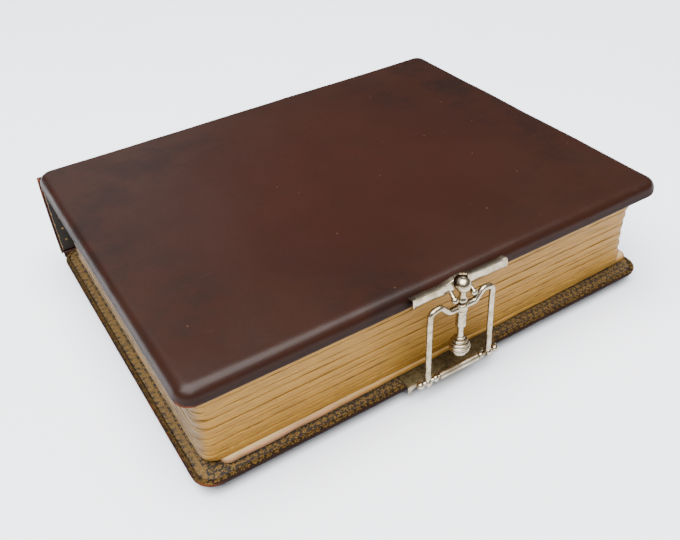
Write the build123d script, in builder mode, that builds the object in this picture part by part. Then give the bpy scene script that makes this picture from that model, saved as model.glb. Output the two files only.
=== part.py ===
from build123d import *
import math
import os

os.makedirs("parts", exist_ok=True)

# Millimetres. X runs along the spine, the clasp faces -Y and +Z is up. The origin is under the middle of
# the closed book, clasp and spine included, on the surface it lies on.

# Covers: card board, felt wadding and leather, with a patterned paper lining let in to the inner face
cover_length = 277.0
cover_width = 216.0
cover_thickness = 8.5
cover_corner = 11.0  # corner radius in plan
cover_round = 6.5  # rounding of the front cover's padded outer face
back_lip = 2.0  # thickness of the back cover's edge, before its padding slopes down to the surface it lies on
slope_width = 12.0
lip_thinning = 0.9  # how much lower the slope starts for each millimetre inside the leather
leather = 1.0
turn_in = 0.8  # leather folded round to the inner face
turn_in_width = 3.0
board_thickness = 2.6
cover_gap = 50.5  # between the two inner faces

# Whole object
overall_depth = 232.4  # from the front of the clasp knob to the crown of the spine
knob_radius = 5.45
clasp_clearance = 4.5  # from the covers' lips out to the clasp's plane
clasp_y = knob_radius - overall_depth / 2
front_lip_y = clasp_y + clasp_clearance
back_edge_y = front_lip_y + cover_width
cover_mid_y = (front_lip_y + back_edge_y) / 2
spine_out_y = overall_depth / 2
back_inner_z = cover_thickness
front_inner_z = cover_thickness + cover_gap

# Spine: leather over a card strip over patterned paper, slightly rounded, with a rolled edge at each joint
spine_length = 276.0
spine_crown = 2.3  # how far the middle stands out beyond the two edges
spine_edge_y = spine_out_y - spine_crown
spine_leather_t = 1.0
spine_board_t = 1.6
spine_paper_t = 0.4
layer_margin = 0.6  # the board and paper stop short of the joints
layer_end_inset = 1.5  # and of the leather's ends
joint_roll = 2.6
hinge_z = front_inner_z - 0.1  # pivot of the front cover, in the leather of its joint
back_joint_z = back_inner_z + 0.1

# Leaves: thick card, each hung on a linen guard that is glued to the lining of the back
leaf_count = 24
turning_leaves = 7
leaf_length = 262.5
leaf_corner = 8.0
leaf_thickness = 1.85
stack_low_z = 11.4
stack_high_z = front_inner_z - 0.2
leaf_pitch = (stack_high_z - stack_low_z) / leaf_count
guard_width = 10.0
guard_thickness = 0.5
guard_end_y = 100.75
guard_end_inset = 2.0  # the linen stops short of the card at head and tail
card_back_y = guard_end_y - guard_width
fore_edge_y = -98.4  # front edge of the top and bottom leaves
fore_edge_hollow = 3.1  # how far the middle leaves sit back
hollow_mid_z = 31.0
hollow_half_height = 27.0
leaf_scatter = 0.35  # uneven ends of the leaves
lining_thickness = 0.8
lining_gap = 0.35  # between the guards' ends and the lining
lining_end_inset = 3.0

# Clasp
hinge_pin_z = back_inner_z + 2.4
bail_wire = 1.6
leg_x = 19.0
leg_top_x = 18.4
shoulder_x = 12.6
dip_x = 7.6
shoulder_z = 55.7
leg_top_z = 54.8
crossbar_z = 50.4
eye_radius = 2.3
foot_sink = 0.4  # how far the wire runs into its eye
pin_radius = 1.0
pin_clearance = 0.05
barrel_radius = 1.9
barrel_half = 12.0
bead_x = 14.2
bead_radius = 1.8
end_bead_x = 23.4
end_bead_radius = 1.95
plate_half = 28.0
plate_thickness = 0.7
plate_back_y = -90.0
plate_front_y = front_lip_y - 1.0
lug_width = 6.0  # corners of the plate turned down over the back cover's lip
lug_drop = 4.0
plate_rivet_inset = 5.0
rod_slim = 1.2
rod_neck = 1.7
rod_low = 1.6
ball_radius = 3.9
ball_z = 63.4
collar_radius = 2.5
collar_low_z = 54.2
collar_high_z = 55.6
sleeve_radius = 2.65
sleeve_wall = 0.4
sleeve_low_z = 38.7
sleeve_floor = 0.8
boss_radius = 3.0
boss_low_z = 48.6
boss_high_z = 52.6
flange_thickness = 1.0
spring_wire = 0.25
spring_turns = 6
knob_high_z = 32.0

# Catch on the front cover's fore-edge
bar_half = 27.5
bar_sheet = 0.8
bar_bend = 1.2
notch_clearance = 0.4
saddle_half = 8.0  # raised middle of the bar, behind the ball
bar_pin_stand_off = 0.8
prong_x = 5.6
prong_length = 5.0
prong_radius = 1.05
prong_tip = 1.7
bar_pin_x = 20.0
rivet_radius = 0.8


def write(piece, name):
    piece.part.label = name
    export_step(piece.part, "parts/" + name + ".step")


def cover_plane(inner_z, up):
    return Plane(origin=(0, cover_mid_y, inner_z), x_dir=(1, 0, 0), z_dir=(0, 0, up))


def outward(plane):
    return Axis(plane.origin, plane.z_dir)


# A cover's padded shape, set in by inset all round and rising from low to high above the inner face
def padded_shape(plane, inset, low, high):
    with BuildPart() as shape:
        with BuildSketch(plane.offset(low)):
            RectangleRounded(cover_length - 2 * inset, cover_width - 2 * inset, cover_corner - inset)
        extrude(amount=high - low)
        fillet(shape.faces().sort_by(outward(plane))[-1].edges(), cover_round - inset)
    return shape.part


# The back cover's shape: a thin edge, then padding that slopes out to the flat face it lies on
def sloped_shape(plane, inset, low, high):
    shoulder = back_lip - lip_thinning * inset
    length = cover_length - 2 * inset
    width = cover_width - 2 * inset
    with BuildPart() as shape:
        with BuildSketch(plane.offset(low)):
            RectangleRounded(length, width, cover_corner - inset)
        extrude(amount=shoulder - low)
        with BuildSketch(plane.offset(shoulder)):
            RectangleRounded(length, width, cover_corner - inset)
        with BuildSketch(plane.offset(high)):
            RectangleRounded(length - 2 * slope_width, width - 2 * slope_width, cover_corner - inset)
        loft()
    return shape.part


def lining_outline(plane, height):
    with BuildPart() as lining:
        with BuildSketch(plane):
            inset = turn_in_width
            RectangleRounded(cover_length - 2 * inset, cover_width - 2 * inset, cover_corner - inset)
        extrude(amount=height)
    return lining.part


# Holes for the two pins that hold the catch bar to the front cover's edge
def pin_holes():
    with BuildPart() as holes:
        with BuildSketch(Plane.XZ.offset(2 - front_lip_y)):
            with Locations((-bar_pin_x, bar_pin_z), (bar_pin_x, bar_pin_z)):
                Circle(rivet_radius)
        extrude(amount=-bar_pin_length - 2)
    return holes.part


bar_pin_z = front_inner_z + turn_in + board_thickness / 2
bar_pin_length = 9.0
board_top = turn_in + board_thickness
covers = {"front": cover_plane(front_inner_z, 1), "back": cover_plane(back_inner_z, -1)}

for side, plane in covers.items():
    shape = padded_shape if side == "front" else sloped_shape
    core = shape(plane, leather, turn_in, cover_thickness - leather)

    with BuildPart() as board:
        add(core)
        split(bisect_by=plane.offset(board_top), keep=Keep.BOTTOM)
        if side == "front":
            add(pin_holes(), mode=Mode.SUBTRACT)
    write(board, side + "_board")

    with BuildPart() as wadding:
        add(core)
        split(bisect_by=plane.offset(board_top), keep=Keep.TOP)
    write(wadding, side + "_wadding")

    with BuildPart() as skin:
        add(shape(plane, 0, 0, cover_thickness))
        add(core, mode=Mode.SUBTRACT)
        add(lining_outline(plane, turn_in), mode=Mode.SUBTRACT)
        if side == "front":
            add(pin_holes(), mode=Mode.SUBTRACT)
    write(skin, side + "_cover_leather")

    with BuildPart() as doublure:
        add(lining_outline(plane, turn_in))
    write(doublure, side + "_doublure")


# The spine's layers follow one shallow arc in section
def spine_layer(outer, thickness, margin, half_length):
    low_z = back_joint_z + margin
    high_z = hinge_z - margin
    mid_z = (low_z + high_z) / 2
    with BuildPart() as layer:
        with BuildSketch(Plane.YZ.offset(-half_length)):
            with BuildLine():
                out_edge = spine_edge_y - outer
                out_crown = spine_out_y - outer
                in_edge = out_edge - thickness
                ThreePointArc((out_edge, low_z), (out_crown, mid_z), (out_edge, high_z))
                Line((out_edge, high_z), (in_edge, high_z))
                ThreePointArc((in_edge, high_z), (out_crown - thickness, mid_z), (in_edge, low_z))
                Line((in_edge, low_z), (out_edge, low_z))
            make_face()
        extrude(amount=2 * half_length)
    return layer


half_spine = spine_length / 2
write(spine_layer(0, spine_leather_t, 0, half_spine), "spine_leather")
write(spine_layer(spine_leather_t, spine_board_t, layer_margin, half_spine - layer_end_inset), "spine_board")
paper_depth = spine_leather_t + spine_board_t
write(spine_layer(paper_depth, spine_paper_t, layer_margin, half_spine - layer_end_inset), "spine_paper")

# Rolled leather edge of the spine at each joint: a quarter round about the joint's pivot
half_roll = joint_roll * math.sqrt(0.5)
for side, joint_z, up in (("front", hinge_z, 1), ("back", back_joint_z, -1)):
    inner_end = (spine_edge_y - joint_roll, joint_z)
    outer_end = (spine_edge_y, joint_z + up * joint_roll)
    with BuildPart() as joint:
        with BuildSketch(Plane.YZ.offset(-half_spine)):
            with BuildLine():
                ThreePointArc(inner_end, (spine_edge_y - half_roll, joint_z + up * half_roll), outer_end)
                Polyline(outer_end, (spine_edge_y, joint_z), inner_end)
            make_face()
        extrude(amount=spine_length)
    write(joint, side + "_joint_roll")

# Leaves, counted from the top of the block
fixed_guards = []
for number in range(1, leaf_count + 1):
    mid_z = stack_high_z - (number - 0.5) * leaf_pitch
    low_z = mid_z - leaf_thickness / 2
    bow = max(0.0, 1 - ((mid_z - hollow_mid_z) / hollow_half_height) ** 2)
    scatter = leaf_scatter * math.sin(2.4 * number)
    front_y = fore_edge_y + fore_edge_hollow * bow + 0.6 * scatter
    leaf_depth = card_back_y - front_y
    with BuildPart() as leaf:
        with BuildSketch(Plane.XY.offset(low_z)):
            with Locations((scatter, card_back_y - leaf_depth / 2)):
                Rectangle(leaf_length, leaf_depth)
            fillet(vertices().group_by(Axis.Y)[0], leaf_corner)
        extrude(amount=leaf_thickness)
    write(leaf, f"leaf_{number:02d}")

    with BuildPart() as guard:
        with BuildSketch(Plane.XY.offset(mid_z - guard_thickness / 2)):
            with Locations((0, card_back_y + guard_width / 2)):
                Rectangle(leaf_length - 2 * guard_end_inset, guard_width)
        extrude(amount=guard_thickness)
    if number <= turning_leaves:
        write(guard, f"guard_{number:02d}")
    else:
        fixed_guards.append(guard.part)

with BuildPart() as leaf_guards:
    for strip in fixed_guards:
        add(strip)
write(leaf_guards, "fixed_guards")

# Lining that the guards are glued to, with the hollow of the back behind it
lining_low_z = stack_low_z - 0.6
lining_high_z = stack_high_z - 1.2
with BuildPart() as block_lining:
    with BuildSketch(Plane.XY.offset(lining_low_z)):
        with Locations((0, guard_end_y + lining_gap + lining_thickness / 2)):
            Rectangle(leaf_length - 2 * lining_end_inset, lining_thickness)
    extrude(amount=lining_high_z - lining_low_z)
write(block_lining, "block_lining")

# The lowest card has come loose: it lies a little askew, further out at the front and at the head
loose_shift_x = 5.3
loose_shift_y = -0.9
loose_turn = 0.9
loose_thickness = 1.7
loose_low_z = 9.5
loose_length = leaf_length - 1
loose_depth = card_back_y - fore_edge_y - 3
loose_corner = 5.0
loose_mid_y = (card_back_y + fore_edge_y) / 2 + loose_shift_y
with BuildPart() as loose_card:
    with BuildSketch(Plane.XY.offset(loose_low_z)):
        with Locations(Location((loose_shift_x, loose_mid_y, 0), loose_turn)):
            Rectangle(loose_length, loose_depth)
        fillet(vertices().group_by(Axis.Y)[0], loose_corner)
    extrude(amount=loose_thickness)
write(loose_card, "loose_card")

# Clasp plate on the back cover's fore-edge, curled up in front into the barrel that holds the hinge pin
rivet_x = plate_half - plate_rivet_inset
rivet_places = [(-rivet_x, plate_back_y - plate_rivet_inset), (rivet_x, plate_back_y - plate_rivet_inset)]
with BuildPart() as base_plate:
    with BuildSketch(Plane.XY.offset(back_inner_z)):
        with Locations((0, (plate_back_y + plate_front_y) / 2)):
            Rectangle(2 * plate_half, plate_back_y - plate_front_y)
        with Locations((0, (plate_front_y + clasp_y) / 2)):
            Rectangle(2 * barrel_half, plate_front_y - clasp_y)
    extrude(amount=plate_thickness)
    with BuildSketch(Plane.YZ.offset(-barrel_half)):
        with Locations((clasp_y, hinge_pin_z)):
            Circle(barrel_radius)
    extrude(amount=2 * barrel_half)
    with BuildSketch(Plane.XZ.offset(-plate_front_y)):
        for end in (-1, 1):
            with BuildLine():
                Polyline(
                    (end * plate_half, back_inner_z),
                    (end * (plate_half - lug_width), back_inner_z),
                    (end * plate_half, back_inner_z - lug_drop),
                    close=True,
                )
            make_face()
    extrude(amount=-plate_thickness)
    with BuildSketch(Plane.YZ.offset(-barrel_half)):
        with Locations((clasp_y, hinge_pin_z)):
            Circle(pin_radius)
    extrude(amount=2 * barrel_half, mode=Mode.SUBTRACT)
    with BuildSketch(Plane.XY.offset(back_inner_z)):
        with Locations(*rivet_places):
            Circle(rivet_radius)
    extrude(amount=plate_thickness, mode=Mode.SUBTRACT)
write(base_plate, "base_plate")

with BuildPart() as plate_rivets:
    with BuildSketch(Plane.XY.offset(back_inner_z)):
        with Locations(*rivet_places):
            Circle(rivet_radius)
    extrude(amount=plate_thickness)
write(plate_rivets, "plate_rivets")

with BuildPart() as hinge_pin:
    with BuildSketch(Plane.YZ.offset(-end_bead_x)):
        with Locations((clasp_y, hinge_pin_z)):
            Circle(pin_radius)
    extrude(amount=2 * end_bead_x)
    with Locations((-end_bead_x, clasp_y, hinge_pin_z), (end_bead_x, clasp_y, hinge_pin_z)):
        Sphere(end_bead_radius, rotation=(0, 90, 0))
write(hinge_pin, "hinge_pin")

with BuildPart() as hinge_beads:
    with Locations((-bead_x, clasp_y, hinge_pin_z), (bead_x, clasp_y, hinge_pin_z)):
        Sphere(bead_radius, rotation=(0, 90, 0))
    with BuildSketch(Plane.YZ.offset(-end_bead_x)):
        with Locations((clasp_y, hinge_pin_z)):
            Circle(pin_radius)
    extrude(amount=2 * end_bead_x, mode=Mode.SUBTRACT)
write(hinge_beads, "hinge_beads")

# Sprung bail: a bent wire with an eye at each foot and a boss in the middle of its dipped top
foot_z = hinge_pin_z + eye_radius - foot_sink
bail_points = [
    (-leg_x, foot_z),
    (-leg_top_x, leg_top_z),
    (-shoulder_x, shoulder_z),
    (-dip_x, crossbar_z),
    (dip_x, crossbar_z),
    (shoulder_x, shoulder_z),
    (leg_top_x, leg_top_z),
    (leg_x, foot_z),
]
bail_bends = [3.4, 2.8, 3.2, 3.2, 2.8, 3.4]
clasp_plane = Plane.XZ.offset(-clasp_y)
with BuildPart() as clasp_frame:
    with BuildLine(clasp_plane) as bail_path:
        FilletPolyline(*bail_points, radius=bail_bends)
    with BuildSketch(Plane(origin=bail_path.wire() @ 0, z_dir=bail_path.wire() % 0)):
        Circle(bail_wire)
    sweep()
    with BuildSketch(Plane.XY.offset(boss_low_z)):
        with Locations((0, clasp_y)):
            Circle(boss_radius)
    extrude(amount=boss_high_z - boss_low_z)
    for side_x in (-leg_x, leg_x):
        with BuildSketch(Plane.YZ.offset(side_x - bail_wire)):
            with Locations((clasp_y, hinge_pin_z)):
                Circle(eye_radius)
        extrude(amount=2 * bail_wire)
        with BuildSketch(Plane.YZ.offset(side_x - 2 * bail_wire)):
            with Locations((clasp_y, hinge_pin_z)):
                Circle(pin_radius + pin_clearance)
        extrude(amount=4 * bail_wire, mode=Mode.SUBTRACT)
    with BuildSketch(Plane.XY.offset(boss_low_z)):
        with Locations((0, clasp_y)):
            Circle(rod_slim + pin_clearance)
    extrude(amount=boss_high_z - boss_low_z, mode=Mode.SUBTRACT)
write(clasp_frame, "clasp_frame")

# Sleeve under the bail's boss, closed at the foot except for the rod's hole
with BuildPart() as spring_sleeve:
    with BuildSketch(Plane.XY.offset(sleeve_low_z)):
        with Locations((0, clasp_y)):
            Circle(sleeve_radius)
            Circle(rod_low + pin_clearance, mode=Mode.SUBTRACT)
    extrude(amount=sleeve_floor)
    with BuildSketch(Plane.XY.offset(sleeve_low_z + sleeve_floor)):
        with Locations((0, clasp_y)):
            Circle(sleeve_radius)
            Circle(sleeve_radius - sleeve_wall, mode=Mode.SUBTRACT)
    extrude(amount=boss_low_z - sleeve_low_z - sleeve_floor)
write(spring_sleeve, "spring_sleeve")

# Catch rod: knob end at the foot, a flange inside the sleeve, a slim stem through the boss, collar and neck
flange_low_z = sleeve_low_z + sleeve_floor
flange_high_z = flange_low_z + flange_thickness
rod_steps = [
    (rod_low, knob_high_z, flange_low_z),
    (sleeve_radius - sleeve_wall - 0.1, flange_low_z, flange_high_z),
    (rod_slim, flange_high_z, collar_low_z),
    (collar_radius, collar_low_z, collar_high_z),
    (rod_neck, collar_high_z, ball_z - math.sqrt(ball_radius**2 - rod_neck**2)),
]
with BuildPart() as catch_rod:
    for radius, low_z, high_z in rod_steps:
        with BuildSketch(Plane.XY.offset(low_z)):
            with Locations((0, clasp_y)):
                Circle(radius)
        extrude(amount=high_z - low_z)
    with Locations((0, clasp_y, ball_z)):
        Sphere(ball_radius, mode=Mode.SUBTRACT)
write(catch_rod, "catch_rod")

with BuildPart() as catch_ball:
    with Locations((0, clasp_y, ball_z)):
        Sphere(ball_radius)
    with BuildSketch(Plane.XY.offset(ball_z - ball_radius)):
        with Locations((0, clasp_y)):
            Circle(rod_neck)
    extrude(amount=ball_radius - math.sqrt(ball_radius**2 - rod_neck**2), mode=Mode.SUBTRACT)
write(catch_ball, "catch_ball")

spring_low_z = flange_high_z + spring_wire
spring_high_z = boss_low_z - spring_wire
spring_radius = sleeve_radius - sleeve_wall - spring_wire - 0.15
with BuildPart() as plunger_spring:
    with BuildLine(Plane.XY):
        coil = Helix(
            (spring_high_z - spring_low_z) / spring_turns,
            spring_high_z - spring_low_z,
            spring_radius,
            center=(0, clasp_y, spring_low_z),
        )
    with BuildSketch(Plane(origin=coil @ 0, z_dir=coil % 0)):
        Circle(spring_wire)
    sweep(is_frenet=True)
write(plunger_spring, "plunger_spring")

# Beehive knob: stacked rings that swell to the fourth and draw in below
ring_radii = [2.9, 4.1, 5.0, knob_radius, 4.2]
ring_heights = [1.7, 1.9, 2.1, 2.4, 2.6]
groove = 0.85
with BuildPart() as beehive_knob:
    with BuildSketch(Plane.XZ.offset(-clasp_y)):
        with BuildLine():
            top_z = knob_high_z
            last_x = 0
            for radius, height in zip(ring_radii, ring_heights):
                start_x = radius - groove
                Line((last_x, top_z), (start_x, top_z))
                ThreePointArc((start_x, top_z), (radius, top_z - height / 2), (start_x, top_z - height))
                top_z -= height
                last_x = start_x
            Polyline((last_x, top_z), (0, top_z), (0, knob_high_z))
        make_face()
    revolve(axis=Axis((0, clasp_y, 0), (0, 0, 1)))
write(beehive_knob, "beehive_knob")

# Catch bar: sheet bent to a channel along the front cover's edge, notched in the middle for the ball
lip_y = front_lip_y
bar_section = [
    (lip_y + 0.55, front_inner_z + 5.7),
    (lip_y - 2.9, front_inner_z + 6.3),
    (lip_y - 3.1, front_inner_z + 2.9),
    (lip_y - 1.2, front_inner_z + 0.6),
]
saddle_section = [(lip_y + 0.1, front_inner_z + 5.2), (lip_y + 3.0, front_inner_z + 7.6)]
with BuildPart() as catch_bar:
    with BuildSketch(Plane.YZ.offset(-bar_half)):
        with BuildLine():
            FilletPolyline(*bar_section, radius=[bar_bend, bar_bend])
            offset(amount=bar_sheet, side=Side.LEFT)
        make_face()
    extrude(amount=2 * bar_half)
    with BuildSketch(Plane.YZ.offset(-saddle_half)):
        with BuildLine():
            Line(*saddle_section)
            offset(amount=bar_sheet, side=Side.LEFT)
        make_face()
    extrude(amount=2 * saddle_half)
    with BuildSketch(Plane.XY.offset(front_inner_z)):
        with Locations((0, clasp_y)):
            Circle(ball_radius + notch_clearance)
    extrude(amount=cover_thickness + 4, mode=Mode.SUBTRACT)
write(catch_bar, "catch_bar")

# Pins from inside the bar into the edge of the front board
with BuildPart() as bar_pins:
    with BuildSketch(Plane.XZ.offset(bar_pin_stand_off - lip_y)):
        with Locations((-bar_pin_x, bar_pin_z), (bar_pin_x, bar_pin_z)):
            Circle(rivet_radius)
    extrude(amount=-bar_pin_length)
write(bar_pins, "bar_pins")

# Fork under the ball: two flared prongs that spring from the bar's lower face on either side of the notch
foot = Vector(0, (bar_section[2][0] + bar_section[3][0]) / 2, (bar_section[2][1] + bar_section[3][1]) / 2)
slope = Vector(0, bar_section[3][1] - bar_section[2][1], bar_section[2][0] - bar_section[3][0]).normalized()
with BuildPart() as catch_prongs:
    for end in (-1, 1):
        prong_foot = foot + Vector(end * prong_x, 0, 0)
        with BuildSketch(Plane(origin=prong_foot, z_dir=slope)):
            Circle(prong_radius)
        extrude(amount=prong_length)
        with Locations(prong_foot + slope * prong_length):
            Sphere(prong_tip)
write(catch_prongs, "catch_prongs")
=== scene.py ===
import math

import bmesh
import bpy
from mathutils import Matrix, Vector, noise


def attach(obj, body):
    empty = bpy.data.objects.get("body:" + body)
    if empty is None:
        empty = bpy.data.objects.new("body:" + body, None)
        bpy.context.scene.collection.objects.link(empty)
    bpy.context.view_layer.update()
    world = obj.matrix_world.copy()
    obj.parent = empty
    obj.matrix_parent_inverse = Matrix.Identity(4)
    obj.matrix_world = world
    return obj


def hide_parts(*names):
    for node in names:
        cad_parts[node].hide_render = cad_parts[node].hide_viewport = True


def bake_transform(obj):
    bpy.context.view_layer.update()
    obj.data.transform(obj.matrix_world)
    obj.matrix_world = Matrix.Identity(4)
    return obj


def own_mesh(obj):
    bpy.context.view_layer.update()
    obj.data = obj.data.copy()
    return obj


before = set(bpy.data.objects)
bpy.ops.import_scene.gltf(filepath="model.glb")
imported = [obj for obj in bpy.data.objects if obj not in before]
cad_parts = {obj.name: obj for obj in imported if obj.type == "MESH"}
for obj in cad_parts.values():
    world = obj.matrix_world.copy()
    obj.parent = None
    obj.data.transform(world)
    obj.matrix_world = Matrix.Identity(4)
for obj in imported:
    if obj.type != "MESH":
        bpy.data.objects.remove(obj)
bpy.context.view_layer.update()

print("frame loaded:", len(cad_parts), "nodes")

# Lengths below are in millimetres in the frame's own axes and go to metres as each piece is finished.
toMetres = 0.001
book = {"halfX": 138.5, "halfY": 108.0, "midY": 1.75, "backInnerZ": 8.5, "frontInnerZ": 59.0}
mirrorZ = book["backInnerZ"] + book[
    "frontInnerZ"
]  # z and mirrorZ - z match on the two sides of the block


def shade(red, green, blue):  # a tint given as 0 to 255, turned to the linear values a socket takes
    tints = [value / 255 for value in (red, green, blue)]
    linear = [tint / 12.92 if tint <= 10 / 255 else ((tint + 0.055) / 1.055) ** 2.4 for tint in tints]
    return (*linear, 1.0)


# finishes
class Value:
    def __init__(self, finish, socket):
        self.finish, self.socket = finish, socket

    def math(self, operation, *others):
        inputs = dict(enumerate((self, *others)))
        return self.finish.node("ShaderNodeMath", {"operation": operation}, inputs)

    def reflected(self, operation, first):
        return self.finish.node("ShaderNodeMath", {"operation": operation}, {0: first, 1: self})

    def __add__(self, other):
        return self.math("ADD", other)

    def __sub__(self, other):
        return self.math("SUBTRACT", other)

    def __mul__(self, other):
        return self.math("MULTIPLY", other)

    def __truediv__(self, other):
        return self.math("DIVIDE", other)

    def __rsub__(self, other):
        return self.reflected("SUBTRACT", other)

    def __abs__(self):
        return self.math("ABSOLUTE")

    def __lt__(self, other):
        return self.math("LESS_THAN", other)

    def __and__(self, other):
        return self.math("MINIMUM", other)

    def __or__(self, other):
        return self.math("MAXIMUM", other)

    def __mod__(self, other):
        return (self / other).math("FRACT")

    __radd__ = __add__
    __rmul__ = __mul__


class Finish:
    def __init__(self, name, **constants):
        self.material = bpy.data.materials.new(name)
        self.material.use_nodes = True
        self.tree = self.material.node_tree
        self.shader = self.tree.nodes["Principled BSDF"]
        for socket, value in constants.items():
            self.shader.inputs[socket.replace("_", " ")].default_value = value
        place = self.node("ShaderNodeTexCoord", output="Object")
        self.place = self.node(
            "ShaderNodeVectorMath", {"operation": "SCALE"}, {0: place, "Scale": 1 / toMetres},
        )

    def node(self, kind, settings=None, inputs=None, output=0):
        made = self.tree.nodes.new(kind)
        for key, value in (settings or {}).items():
            if key == "stops":
                ramp = made.color_ramp
                for at, colour in value[1:-1]:
                    ramp.elements.new(at)
                for element, (at, colour) in zip(ramp.elements, value):
                    element.position, element.color = at, colour
            else:
                setattr(made, key, value)
        for key, value in (inputs or {}).items():
            if isinstance(value, Value):
                self.tree.links.new(value.socket, made.inputs[key])
            else:
                made.inputs[key].default_value = value
        return Value(self, made.outputs[output])

    def axes(self):
        return [
            self.node("ShaderNodeSeparateXYZ", None, {0: self.place}, axis) for axis in ("X", "Y", "Z")
        ]

    def moved(self, scale=(1, 1, 1), turn=0.0, shift=(0, 0, 0)):
        inputs = {"Vector": self.place, "Scale": scale, "Rotation": (0, 0, turn), "Location": shift}
        return self.node("ShaderNodeMapping", None, inputs)

    def cloud(self, scale, detail=3.0, roughness=0.5, at=None, distortion=0.0):
        inputs = {
            "Vector": at or self.place, "Scale": scale, "Detail": detail, "Roughness": roughness,
            "Distortion": distortion,
        }
        return self.node("ShaderNodeTexNoise", None, inputs)

    def cells(self, scale, at=None, randomness=1.0, output="Distance", feature="F1"):
        inputs = {"Vector": at or self.place, "Scale": scale, "Randomness": randomness}
        return self.node("ShaderNodeTexVoronoi", {"feature": feature}, inputs, output)

    def step(self, value, low, high):
        inputs = {0: value, 1: low, 2: high, 3: 0.0, 4: 1.0}
        return self.node("ShaderNodeMapRange", {"interpolation_type": "SMOOTHSTEP"}, inputs)

    def mix(self, factor, first, second, blend="MIX"):
        settings = {"data_type": "RGBA", "blend_type": blend}
        return self.node("ShaderNodeMix", settings, {0: factor, 6: first, 7: second}, 2)

    def relief(self, height, strength, distance, over=None):
        inputs = {"Height": height, "Strength": strength, "Distance": distance * toMetres}
        if over:
            inputs["Normal"] = over
        return self.node("ShaderNodeBump", None, inputs)

    def wear(self, **links):
        for socket, value in links.items():
            self.tree.links.new(value.socket, self.shader.inputs[socket.replace("_", " ")])
        return self.material


leatherLook = {
    "gloss": 0.13,
    "rubbedReach": 11.5,
    "deep": shade(23, 9, 5),
    "body": shade(33, 13, 6),
    "warm": shade(38, 13, 6),
    "dull": shade(37, 18, 10),
    "wornAndLipHighlight": shade(96, 44, 18),
    "scuff": shade(58, 32, 18),
    "speck": shade(116, 84, 60),
}


# how gilded a place of the lining is, from 0 to 1
def goldPattern(f, x, y):
    wobble = f.cloud(0.3, 3.0, 0.6)
    u = ((x + (wobble - 0.5) * 3.2) / 3.7 + (y / 3.2).math("FLOOR") * 0.5).math("FRACT") - 0.5
    v = ((y + (wobble - 0.5) * 2.4) / 3.2).math("FRACT") - 0.5
    radius = (u * u + v * v).math("SQRT")
    petal = radius - (v.math("ARCTAN2", u) * 5).math("COSINE") * 0.11
    flower = (1 - f.step(petal, 0.24, 0.36)) * f.step(radius, 0.05, 0.12)
    leaves = f.step(f.cells(0.62, f.moved((1.0, 1.3, 1.0), 0.7), 0.8), 0.42, 0.30)
    clump = f.step(f.cells(0.17, f.moved((1.0, 1.0, 1.0), 0.78), 0.35), 0.30, 0.20)
    field = (flower | leaves) * (1 - clump * 0.85)
    toEnd, toSide = book["halfX"] - abs(x), book["halfY"] - abs(y - book["midY"])
    edge = toEnd & toSide
    alongEdge = f.node("ShaderNodeMix", {"data_type": "FLOAT"}, {0: toEnd < toSide, 2: x, 3: y})
    shifted = alongEdge + (wobble - 0.5) * 4.5
    tooth = abs((shifted / 4.1).math("FRACT") - 0.5) * 2
    teeth = f.step(
        tooth - (edge - 2.6) / 3.0 + (wobble - 0.5) * 1.6, 0.22, -0.12,
    ) * f.step(edge, 2.2, 2.8) * (1 - clump * 0.6)
    line = 1 - f.step(abs(edge - 1.9), 0.2, 0.42)
    border = (teeth * 0.85) | (line * 0.5) | (field * 0.6)
    inBorder = (edge < 6.5) * (toEnd < toSide)
    pattern = field * (1 - inBorder) + (border | (field * 0.35)) * inBorder
    pattern = pattern * f.step(f.cloud(0.23, 5.0, 0.7), 0.22, 0.52) * f.step(edge, 0.5, 1.1)
    speckle = f.step(f.cloud(1.3, 3.0, 0.7), 0.36, 0.58)
    return pattern * (0.35 + speckle * 0.65)


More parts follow.
